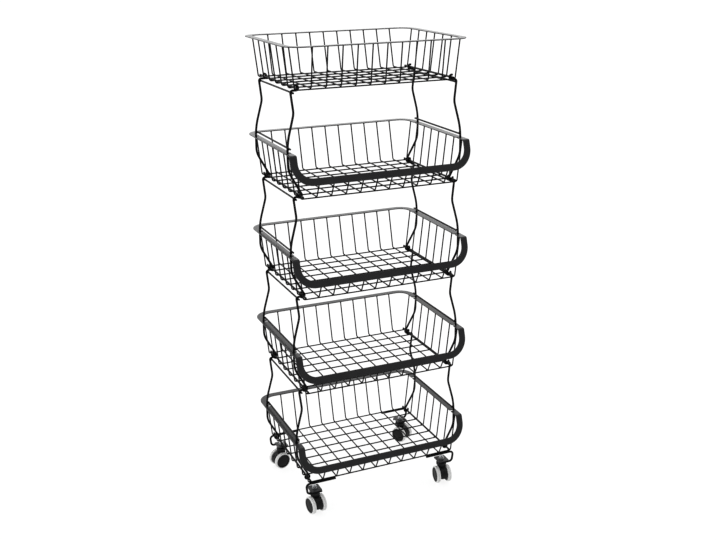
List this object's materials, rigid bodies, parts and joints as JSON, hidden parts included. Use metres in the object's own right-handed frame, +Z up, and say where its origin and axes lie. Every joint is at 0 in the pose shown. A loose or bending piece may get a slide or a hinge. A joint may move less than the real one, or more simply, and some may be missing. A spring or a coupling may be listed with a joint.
{
  "type": "tiered vegetable basket rack",
  "caption": "Free-standing tower of stacked black wire baskets with low folded front rails, bent-wire leg frames between tiers and twin-wheel swivel casters.",
  "frame": {"origin": "on the floor, under the middle of the rack's plan", "axes": "+Z up, +X to the right of someone who faces the open fronts, front towards -Y"},
  "size_m": [0.426, 0.3272, 1.0835],
  "materials": {
    "black_steel": "satin black powder coat on steel wire and strip",
    "zinc_steel": "bright zinc plate",
    "caster_plastic": "black moulded plastic",
    "hub_plastic": "black moulded plastic",
    "tread_rubber": "pale grey soft rubber"
  },
  "bodies": {
    "rack": {"back_left_caster_bracket": "black_steel", "back_right_caster_bracket": "black_steel", "bottom_basket_cross_wires": "black_steel", "bottom_basket_long_wires": "black_steel", "bottom_basket_rim_strip": "black_steel", "bottom_basket_side_rods": "black_steel", "bottom_left_leg_frame": "black_steel", "bottom_right_leg_frame": "black_steel", "caster_plates": "black_steel", "caster_stem_nuts": "zinc_steel", "caster_stems": "zinc_steel", "caster_washers": "zinc_steel", "front_left_caster_bracket": "black_steel", "front_right_caster_bracket": "black_steel", "lower_basket_cross_wires": "black_steel", "lower_basket_long_wires": "black_steel", "lower_basket_rim_strip": "black_steel", "lower_basket_side_rods": "black_steel", "lower_left_leg_frame": "black_steel", "lower_right_leg_frame": "black_steel", "middle_basket_cross_wires": "black_steel", "middle_basket_long_wires": "black_steel", "middle_basket_rim_strip": "black_steel", "middle_basket_side_rods": "black_steel", "middle_left_leg_frame": "black_steel", "middle_right_leg_frame": "black_steel", "top_basket_cross_wires": "black_steel", "top_basket_long_wires": "black_steel", "top_basket_rim_strip": "black_steel", "top_basket_side_rods": "black_steel", "upper_basket_cross_wires": "black_steel", "upper_basket_long_wires": "black_steel", "upper_basket_rim_strip": "black_steel", "upper_basket_side_rods": "black_steel", "upper_left_leg_frame": "black_steel", "upper_right_leg_frame": "black_steel"},
    "front_left_caster": {"front_left_caster_hood": "caster_plastic", "front_left_caster_axle": "zinc_steel"},
    "front_left_left_wheel": {"front_left_caster_left_wheel_hub": "hub_plastic", "front_left_caster_left_wheel_tread": "tread_rubber"},
    "front_left_right_wheel": {"front_left_caster_right_wheel_hub": "hub_plastic", "front_left_caster_right_wheel_tread": "tread_rubber"},
    "front_right_caster": {"front_right_caster_hood": "caster_plastic", "front_right_caster_axle": "zinc_steel"},
    "front_right_left_wheel": {"front_right_caster_left_wheel_hub": "hub_plastic", "front_right_caster_left_wheel_tread": "tread_rubber"},
    "front_right_right_wheel": {"front_right_caster_right_wheel_hub": "hub_plastic", "front_right_caster_right_wheel_tread": "tread_rubber"},
    "back_left_caster": {"back_left_caster_hood": "caster_plastic", "back_left_caster_axle": "zinc_steel"},
    "back_left_left_wheel": {"back_left_caster_left_wheel_hub": "hub_plastic", "back_left_caster_left_wheel_tread": "tread_rubber"},
    "back_left_right_wheel": {"back_left_caster_right_wheel_hub": "hub_plastic", "back_left_caster_right_wheel_tread": "tread_rubber"},
    "back_right_caster": {"back_right_caster_hood": "caster_plastic", "back_right_caster_axle": "zinc_steel"},
    "back_right_left_wheel": {"back_right_caster_left_wheel_hub": "hub_plastic", "back_right_caster_left_wheel_tread": "tread_rubber"},
    "back_right_right_wheel": {"back_right_caster_right_wheel_hub": "hub_plastic", "back_right_caster_right_wheel_tread": "tread_rubber"}
  },
  "joints": [
    {"name": "front_left_swivel", "type": "hinge", "parent": "rack", "child": "front_left_caster", "pos_m": [-0.169, -0.1247, 0.045], "axis": [0, 0, 1], "continuous": true},
    {"name": "front_left_left_wheel_spin", "type": "hinge", "parent": "front_left_caster", "child": "front_left_left_wheel", "pos_m": [-0.16816, -0.13064, 0.021], "axis": [0.9903, 0.1392, 0], "continuous": true},
    {"name": "front_left_right_wheel_spin", "type": "hinge", "parent": "front_left_caster", "child": "front_left_right_wheel", "pos_m": [-0.16816, -0.13064, 0.021], "axis": [0.9903, 0.1392, 0], "continuous": true},
    {"name": "front_right_swivel", "type": "hinge", "parent": "rack", "child": "front_right_caster", "pos_m": [0.169, -0.1247, 0.045], "axis": [0, 0, 1], "continuous": true},
    {"name": "front_right_left_wheel_spin", "type": "hinge", "parent": "front_right_caster", "child": "front_right_left_wheel", "pos_m": [0.16822, -0.13065, 0.021], "axis": [0.9914, -0.1305, 0], "continuous": true},
    {"name": "front_right_right_wheel_spin", "type": "hinge", "parent": "front_right_caster", "child": "front_right_right_wheel", "pos_m": [0.16822, -0.13065, 0.021], "axis": [0.9914, -0.1305, 0], "continuous": true},
    {"name": "back_left_swivel", "type": "hinge", "parent": "rack", "child": "back_left_caster", "pos_m": [-0.169, 0.1099, 0.045], "axis": [0, 0, 1], "continuous": true},
    {"name": "back_left_left_wheel_spin", "type": "hinge", "parent": "back_left_caster", "child": "back_left_left_wheel", "pos_m": [-0.17489, 0.10876, 0.021], "axis": [0.1908, -0.9816, 0], "continuous": true},
    {"name": "back_left_right_wheel_spin", "type": "hinge", "parent": "back_left_caster", "child": "back_left_right_wheel", "pos_m": [-0.17489, 0.10876, 0.021], "axis": [0.1908, -0.9816, 0], "continuous": true},
    {"name": "back_right_swivel", "type": "hinge", "parent": "rack", "child": "back_right_caster", "pos_m": [0.169, 0.1099, 0.045], "axis": [0, 0, 1], "continuous": true},
    {"name": "back_right_left_wheel_spin", "type": "hinge", "parent": "back_right_caster", "child": "back_right_left_wheel", "pos_m": [0.172, 0.1047, 0.021], "axis": [0.866, 0.5, 0], "continuous": true},
    {"name": "back_right_right_wheel_spin", "type": "hinge", "parent": "back_right_caster", "child": "back_right_right_wheel", "pos_m": [0.172, 0.1047, 0.021], "axis": [0.866, 0.5, 0], "continuous": true}
  ]
}
